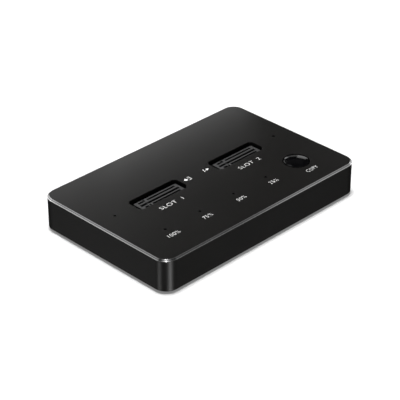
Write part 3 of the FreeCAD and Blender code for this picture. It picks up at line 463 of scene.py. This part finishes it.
for name, text, x, width in (("legend_100", "100%", -36.5, 5.6), ("legend_75", "75%", -19.0, 4.4),
                             ("legend_50", "50%", -0.9, 4.4), ("legend_25", "25%", 17.0, 4.5)):
    bm = bmesh.new()
    letters(bm, text, x, -21.7, width, 1.8)
    settle(bm, name)
bm = bmesh.new()
letters(bm, "COPY", 34.6, -25.7, 5.9, 1.8)
settle(bm, "legend_copy")
for name, text, x, y in (("legend_slot_1", "SLOT  1", -22.1, -5.7), ("legend_slot_2", "SLOT  2", 20.5, -5.6)):
    bm = bmesh.new()
    letters(bm, text, x, y, 11.6, 1.9)
    settle(bm, name)

bm = bmesh.new()
plate_shape(bm, [(-7.05, 2.85), (-5.85, 1.85), (-5.85, 2.65), (-4.9, 2.65), (-4.9, 3.05), (-5.85, 3.05), (-5.85, 3.85)])
plate_shape(bm, [(-5.0, 1.75), (-3.8, 1.75), (-3.8, 3.95), (-4.8, 3.95), (-4.8, 3.73), (-4.05, 3.73), (-4.05, 1.98), (-5.0, 1.98)])
settle(bm, "legend_from")
bm = bmesh.new()
plate_shape(bm, [(3.4, 1.9), (3.7, 1.9), (4.2, 3.85), (3.9, 3.85)])
plate_shape(bm, [(4.3, 2.55), (5.15, 2.6), (5.1, 2.05), (6.25, 2.85), (5.25, 3.65), (5.2, 2.9), (4.35, 2.8)])
settle(bm, "legend_to")


# --------------------------------------------------------------------------
# Stage: pale floor, soft studio lights, camera.
# --------------------------------------------------------------------------
bm = bmesh.new()
bmesh.ops.create_grid(bm, x_segments=8, y_segments=8, size=1.6)
mesh = bpy.data.meshes.new("floor")
bm.to_mesh(mesh)
bm.free()
floor = bpy.data.objects.new("floor", mesh)
bpy.context.scene.collection.objects.link(floor)
paper = Look("floor_paper", spec=0.0, Emission_Strength=0.20)
paper.put("Emission Color", (1.0, 1.0, 1.0, 1.0))
fibre = paper.noise(0.004, 3.0, 0.6)
paper.feed("Base Color", paper.tones(fibre, (0.3, (0.545, 0.545, 0.545)), (0.7, (0.575, 0.575, 0.575))))
paper.feed("Roughness", paper.span(fibre, 0.3, 0.7, 0.85, 0.95))
mesh.materials.append(paper.mat)
floor.visible_glossy = False
floor.visible_shadow = False

RIGHT = Vector((1, -1, 0)).normalized()
BACK = Vector((1, 1, 0)).normalized()
UP = Vector((0, 0, 1))
CENTRE = Vector((0, 0, 0.008))
KNOB = Vector((0.035, -0.0172, 0.015))


def softbox(name, spot, width, height, power, tint=(1, 1, 1), faces=CENTRE, lean=0, fills=True, shines=True):
    """Area light at a spot in metres, facing the dock or another point, with its width level unless it leans."""
    lamp = bpy.data.lights.new(name, "AREA")
    lamp.shape = "RECTANGLE"
    lamp.size = width
    lamp.size_y = height
    lamp.energy = power
    lamp.color = tint
    holder = bpy.data.objects.new(name, lamp)
    holder.location = spot
    holder.rotation_mode = "QUATERNION"
    holder.rotation_quaternion = (faces - spot).to_track_quat("-Z", "Y") @ Quaternion((0, 0, 1), math.radians(lean))
    holder.visible_camera = False
    holder.visible_diffuse = fills
    holder.visible_glossy = shines
    bpy.context.scene.collection.objects.link(holder)
    return holder


def around(turn, rise, reach):
    """Spot at an angle round the dock: 0 behind it as the camera looks, 90 to the right, 180 at the camera."""
    a, e = math.radians(turn), math.radians(rise)
    return CENTRE + (RIGHT * math.sin(a) * math.cos(e) + BACK * math.cos(a) * math.cos(e) + UP * math.sin(e)) * reach


softbox("left_box", around(262, 33, 0.7), 0.35, 0.35, 0.148)
softbox("left_kicker", Vector((-0.134, 0.135, 0.100)), 0.07, 0.07, 0.003)
softbox("right_box", around(84, 34, 0.7), 0.35, 0.35, 0.048)
softbox("right_kicker", Vector((0.155, -0.113, 0.101)), 0.07, 0.07, 0.004)
softbox("right_far", Vector((0.330, -0.098, 0.107)), 0.10, 0.10, 0.02)
softbox("right_low", Vector((0.325, 0.1785, 0.048)), 0.074, 0.19, 0.034, faces=KNOB)
softbox("right_glint", Vector((0.342, -0.060, 0.084)), 0.06, 0.05, 0.015, faces=Vector((0.0525, -0.034, 0.0145)))
softbox("back_low", Vector((0.265, 0.247, 0.036)), 0.11, 0.105, 0.008, faces=KNOB)
softbox("back_strip", Vector((0.1536, 0.2649, 0.1847)), 0.022, 0.195, 0.022, faces=KNOB, lean=-23)
softbox("front_spot", around(180, 59, 0.8), 0.12, 0.12, 0.25)
softbox("overhead", around(253, 88.3, 2.0), 0.48, 0.46, 66.0, shines=False)
softbox("overhead_sheen", around(253, 88.3, 2.0), 0.48, 0.46, 9.0, fills=False)
# high panels that only show as sheen, so that the cut edge is bright from every side
softbox("sheen_back", around(303, 61, 0.8), 0.62, 0.24, 0.24, fills=False)
softbox("sheen_right", around(74, 61, 0.8), 0.50, 0.24, 0.19, fills=False)
softbox("sheen_front", around(135, 61, 0.8), 0.75, 0.24, 0.26, fills=False)
softbox("sheen_left", around(225, 61, 0.8), 0.75, 0.24, 0.26, fills=False)
softbox("sheen_near", around(180, 38, 0.8), 0.50, 0.40, 0.28, fills=False)
softbox("sheen_far", around(0, 44, 0.8), 0.50, 0.30, 0.014, fills=False)
softbox("low_left", Vector((-0.045, 0.058, 0.026)), 0.09, 0.020, 0.0056, faces=Vector((-0.045, 0.0, 0.018)))
softbox("low_middle", Vector((0.045, 0.058, 0.026)), 0.09, 0.020, 0.0085, faces=Vector((0.045, 0.0, 0.018)))
softbox("table_left", around(227, -33, 0.6), 0.14, 0.30, 0.54)
softbox("table_right", around(153, -33, 0.6), 0.13, 0.30, 1.44)
softbox("table_far_left", around(270, -33, 0.6), 0.16, 0.30, 0.070)
softbox("table_far_right", around(90, -33, 0.6), 0.16, 0.30, 0.046)

world = bpy.data.worlds.new("studio")
bpy.context.scene.world = world
world.use_nodes = True
sky = world.node_tree.nodes["Background"]
sky.inputs["Color"].default_value = (1.0, 1.0, 1.0, 1.0)
# dim above and below, with a pale band round the horizon, as a studio sweep has
way = world.node_tree.nodes.new("ShaderNodeTexCoord")
parts = world.node_tree.nodes.new("ShaderNodeSeparateXYZ")
world.node_tree.links.new(way.outputs["Generated"], parts.inputs[0])
rise = world.node_tree.nodes.new("ShaderNodeValToRGB")
lift = world.node_tree.nodes.new("ShaderNodeMath")
lift.operation = "MULTIPLY_ADD"
lift.inputs[1].default_value = 0.5
lift.inputs[2].default_value = 0.5
world.node_tree.links.new(parts.outputs[2], lift.inputs[0])
world.node_tree.links.new(lift.outputs[0], rise.inputs["Fac"])
stops = rise.color_ramp
stops.interpolation = "EASE"
for i, (height, glow) in enumerate(((-0.20, 0.015), (-0.10, 0.8), (0.08, 0.8), (0.15, 0.015))):
    stop = stops.elements[i] if i < 2 else stops.elements.new(0.5 + 0.5 * height)
    stop.position = 0.5 + 0.5 * height
    stop.color = (glow, glow, glow, 1.0)
# a dark panel stands in the sweep straight behind the dock
facing = world.node_tree.nodes.new("ShaderNodeVectorMath")
facing.operation = "DOT_PRODUCT"
facing.inputs[1].default_value = BACK
world.node_tree.links.new(way.outputs["Generated"], facing.inputs[0])
panel = world.node_tree.nodes.new("ShaderNodeMapRange")
for key, value in (("From Min", 0.87), ("From Max", 0.90), ("To Min", 1.0), ("To Max", 0.02)):
    panel.inputs[key].default_value = value
world.node_tree.links.new(facing.outputs["Value"], panel.inputs["Value"])
sweep = world.node_tree.nodes.new("ShaderNodeMath")
sweep.operation = "MULTIPLY"
world.node_tree.links.new(rise.outputs["Color"], sweep.inputs[0])
world.node_tree.links.new(panel.outputs["Result"], sweep.inputs[1])
world.node_tree.links.new(sweep.outputs[0], sky.inputs["Strength"])

eye = bpy.data.cameras.new("camera")
eye.lens = 145.97
eye.sensor_width = 36.0
eye.clip_start = 0.02
eye.clip_end = 20.0
camera = bpy.data.objects.new("camera", eye)
bpy.context.scene.collection.objects.link(camera)
aim = Vector((-4.919, -3.631, 7.820)) * MM
camera.location = Vector((-383.038, -381.539, 330.116)) * MM
camera.rotation_mode = "QUATERNION"
camera.rotation_quaternion = (aim - camera.location).to_track_quat("-Z", "Y")
bpy.context.scene.camera = camera

view = bpy.context.scene.view_settings
view.view_transform = "Standard"
view.look = "None"
view.exposure = 0.0
view.gamma = 1.0
